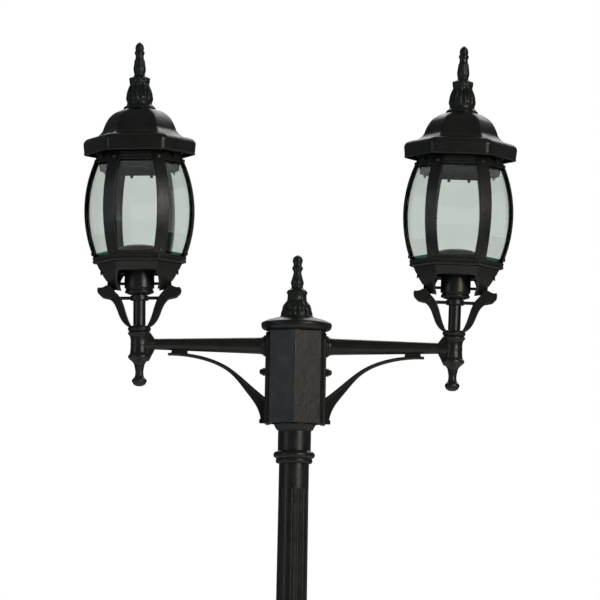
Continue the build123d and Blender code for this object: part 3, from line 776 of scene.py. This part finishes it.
def make_cage_base():
    """Six-sided rim with a round hole in its floor."""
    rim = CAGE_RIM
    outline = [Vector(p) for p in (
        (30, CAGE_LOW), (rim - 3, CAGE_LOW), (rim - 0.4, CAGE_LOW + 2.2), (rim, CAGE_LOW + 4),
        (rim - 0.9, CAGE_LOW + 5), (rim - 0.9, CAGE_LOW + 9.4), (rim, CAGE_LOW + 10.4),
        (rim, RIB_LOW - 1.6), (rim - 1.6, RIB_LOW), (70, RIB_LOW), (68, CAGE_LOW + 5),
        (30, CAGE_LOW + 5),
    )]
    floor_ring = eased([Vector(p) for p in (
        (23, CAGE_LOW), (45, CAGE_LOW), (45, CAGE_LOW + 5), (23, CAGE_LOW + 5),
    )], 0.5, closed=True)
    shape = merged(
        six_sided(eased(outline, 0.7, closed=True), lambda flat, z: 3 if flat > 60 else 6),
        turned(floor_ring, 72, ring=True),
    )
    lantern_pieces("Cage_base", shape, "black_paint", "cage_base")


def make_dish():
    """Domed dish round the lampholder."""
    outline = steps_up(RIB_LOW - 9, 46, (19, 46, 0), (9, 36, 3), (4, 24, 0.8))
    inside = steps_up(RIB_LOW - 9, 44, (19, 44, 0), (8, 34, 2.6), (5, 21.5, 0.8))
    shape = turned(eased(outline + inside[::-1], 0.4, closed=True), 96, ring=True)
    mesh = mesh_of("Dish", shape)
    # The dish takes the darker green paint: painted shade inside the lantern
    mesh.materials.append(MATERIALS["shaded_green_paint"])
    lantern_pieces("Dish", mesh, "green_black_paint", "reflector_dish")


def make_cup():
    outline = steps_up(
        CUP_LOW, 20, (3, 28, 0), (3, 29, 0.8), (3, 27, 0.5), (4, 30, -1),
        (CAGE_LOW - CUP_LOW - 20, 30, 0), (4, 34, 0), (3, 34, 0),
    )
    inside = [Vector((27, CAGE_LOW)), Vector((27, CUP_LOW + 21)), Vector((12.6, CUP_LOW + 21)),
              Vector((12.6, CUP_LOW))]
    shape = turned(eased(outline + inside, 0.6, closed=True), 80, ring=True)
    lantern_pieces("Cup", shape, "black_paint", "lampholder_cup")


def at_corner(reach, z):
    """Outline point given by its reach at a corner."""
    return Vector((FLAT * reach, z))


def make_roof():
    """Ogee dome with soft corners, a hollow brim, a beaded drip lip and a seat wall."""
    outline = [
        at_corner(113.5, LIP_LOW), at_corner(115, LIP_LOW + 2), at_corner(114.2, LIP_LOW + 4),
    ]
    for reach, z, bulge in ((115.5, BRIM_Z, 0), (104, 2209, 4), (75, 2226, -4.5),
                            (64, 2250, 1), (34, ROOF_TOP, 3)):
        outline += arc_to(outline[-1], at_corner(reach, z), bulge, 12)
    inside = [
        Vector((9, ROOF_TOP)), Vector((9, DOME_CEILING)), at_corner(26, DOME_CEILING),
        at_corner(58, 2245), at_corner(70, 2222), Vector((SEAT_WALL_IN, 2211)),
        Vector((SEAT_WALL_IN, SEAT_WALL_LOW)), Vector((SEAT_WALL_OUT, SEAT_WALL_LOW)),
        Vector((SEAT_WALL_OUT, ROOF_SEAT)), at_corner(89, ROOF_SEAT),
        at_corner(89, ROOF_SEAT + 3), at_corner(84.5, ROOF_SEAT + 7), at_corner(84.5, 2210),
        at_corner(101, 2204), at_corner(111, BRIM_Z), at_corner(110, LIP_LOW),
    ]

    def rounding(flat, z):
        if flat < 71 and z < ROOF_SEAT + 12:
            return WALL_ROUNDING
        if flat > 80:
            return BRIM_ROUNDING
        up = max(0.0, (z - DOME_LOW) / (ROOF_TOP - DOME_LOW))
        return DOME_ROUNDING + DOME_ROUNDING_GAIN * up

    shape = six_sided(eased(outline + inside, 0.9, closed=True), rounding)
    lantern_pieces("Roof", shape, "black_paint", "roof", "roof_body")


def make_roof_finials():
    outline = steps_up(
        ROOF_TOP, 31, (3, 31.5, 1), (3, 29.5, 0), (4, 25.5, -0.8), (4, 25, 0), (14, 25, 1.2),
        (12, 22, 0), (12, 18.7, -0.5), (8, 20, 0.3), (4, 19.5, 1.2), (4, 12, -1), (4, 10.8, -0.3),
        (16, 11.6, 1), (12, 10.3, 0), (6, 8.4, -0.5), (4, 8.3, 0), (3, 9.6, 0.3), (5, 9.4, 0.6),
        (3, 8.2, -0.3), (7, 8, 0.8), (4, 6, 0.8), (3, 3.2, 0.6), (1.5, 0.8, 0.3),
    )
    relief = together(
        leaves(8, ROOF_TOP + 14, ROOF_TOP + 52, 2.8),
        leaves(8, ROOF_TOP + 26, ROOF_TOP + 64, 1.8, 0.5),
        gadroons(14, ROOF_TOP + 58, ROOF_TOP + 68, 1.2),
        gadroons(20, ROOF_TOP, ROOF_TOP + 8, 1.0),
        leaves(6, ROOF_TOP + 74, ROOF_TOP + 104, 1.0),
    )
    shape = turned(finer(eased(outline, 0.5)), 160, relief)
    lantern_pieces("Roof_finial", shape, "green_black_paint", "roof_finial", "roof_body")


def soften_castings():
    """Cast CAD nodes get one skin with soft fillets."""
    for side in SIDE_SIGN:
        for name, voxel, rounds in (("cradle", 0.8, 5), ("end_socket", 0.7, 5), ("brace", 0.8, 4)):
            node = frame["nodes"][f"{side}_{name}"]
            skin = node.modifiers.new("Skin", "REMESH")
            skin.mode = "VOXEL"
            skin.voxel_size = voxel * MM
            skin.use_smooth_shade = True
            fillets = node.modifiers.new("Fillets", "SMOOTH")
            fillets.factor = 0.5
            fillets.iterations = rounds


# ---------------------------------------------------------------- stage

BACKDROP = 1.0
ROOM = 0.08
FLOOR_HALF = 30.0
LENS = 232.0
EYE_DISTANCE = 7.7
EYE_AZIMUTH = 2.3
EYE_HEIGHT = 1.178
EYE_TARGET = (0.006, 0.0, 1.888)
EYE_ROLL = 1.05


def make_stage():
    half = FLOOR_HALF
    corners = [(-half, -half, 0), (half, -half, 0), (half, half, 0), (-half, half, 0)]
    floor_mesh = bpy.data.meshes.new("Floor")
    floor_mesh.from_pydata(corners, [], [(0, 1, 2, 3)])
    floor = bpy.data.objects.new("Floor", floor_mesh)
    bpy.context.scene.collection.objects.link(floor)
    made, tree, shader, place = node_material("Pale_floor")
    darker, lighter = (0.74, 0.74, 0.73), (0.80, 0.80, 0.79)
    tone = ramp(tree, noise(tree, place, 3, 4), (0.3, darker), (0.7, lighter))
    tree.links.new(tone, shader.inputs["Base Color"])
    shader.inputs["Roughness"].default_value = 0.8
    floor_mesh.materials.append(made)


def make_world():
    """White backdrop for the camera and through the glass, a dimmer room for the paint."""
    world = bpy.data.worlds.new("Studio")
    bpy.context.scene.world = world
    world.use_nodes = True
    tree = world.node_tree
    seen = tree.nodes["Background"]
    seen.inputs["Color"].default_value = (1, 1, 1, 1)
    seen.inputs["Strength"].default_value = BACKDROP
    room = tree.nodes.new("ShaderNodeBackground")
    room.inputs["Color"].default_value = (0.93, 0.97, 1.0, 1)
    room.inputs["Strength"].default_value = ROOM
    path = tree.nodes.new("ShaderNodeLightPath")
    either = tree.nodes.new("ShaderNodeMath")
    either.operation = "MAXIMUM"
    tree.links.new(path.outputs["Is Camera Ray"], either.inputs[0])
    tree.links.new(path.outputs["Is Transmission Ray"], either.inputs[1])
    mix = tree.nodes.new("ShaderNodeMixShader")
    tree.links.new(either.outputs[0], mix.inputs[0])
    tree.links.new(room.outputs[0], mix.inputs[1])
    tree.links.new(seen.outputs[0], mix.inputs[2])
    tree.links.new(mix.outputs[0], tree.nodes["World Output"].inputs["Surface"])


def soft_light(name, place, size, watts, colour, target=(0, 0, 1.9)):
    """Area light in metres and watts, aimed between the lanterns if not told otherwise."""
    data = bpy.data.lights.new(name, "AREA")
    data.shape = "RECTANGLE"
    data.size, data.size_y = size
    data.energy = watts
    data.color = colour
    light = bpy.data.objects.new(name, data)
    bpy.context.scene.collection.objects.link(light)
    light.location = place
    light.rotation_euler = (Vector(target) - Vector(place)).to_track_quat("-Z", "Y").to_euler()
    light.visible_camera = False


def make_camera():
    """The photograph's view: from the front, level with the post's middle, far off."""
    data = bpy.data.cameras.new("Camera")
    data.lens = LENS
    data.sensor_width = 36.0
    data.clip_end = 200.0
    camera = bpy.data.objects.new("Camera", data)
    bpy.context.scene.collection.objects.link(camera)
    turn = math.radians(EYE_AZIMUTH)
    place = Vector((math.sin(turn) * EYE_DISTANCE, -math.cos(turn) * EYE_DISTANCE, EYE_HEIGHT))
    aim = (Vector(EYE_TARGET) - place).to_track_quat("-Z", "Y").to_matrix().to_4x4()
    roll = Matrix.Rotation(math.radians(EYE_ROLL), 4, "Z")
    camera.matrix_world = Matrix.Translation(place) @ aim @ roll
    bpy.context.scene.camera = camera


finish_cad_nodes()
make_neck()
make_hub()
make_cap()
make_centre_finial()
make_plates()
make_arms()
make_drop_finials()
make_ribs()
make_glass()
make_top_ring()
make_cage_base()
make_dish()
make_cup()
make_roof()
make_roof_finials()
soften_castings()
make_stage()
make_world()
soft_light("Key_right", (3.6, -4.2, 3.2), (2.5, 2.5), 108, (1.0, 0.94, 0.84))
soft_light("Fill_left", (-4.2, -2.6, 2.6), (2.0, 3.0), 17, (0.80, 0.91, 1.0))
soft_light("Back_top", (0.5, 3.5, 4.5), (4.0, 2.0), 50, (1.0, 1.0, 1.0))
soft_light("Floor_wash", (0, -1.0, 1.1), (6.0, 6.0), 40, (1.0, 0.98, 0.95), target=(0, -0.99, 0))
make_camera()
bpy.context.scene.view_settings.view_transform = "Standard"
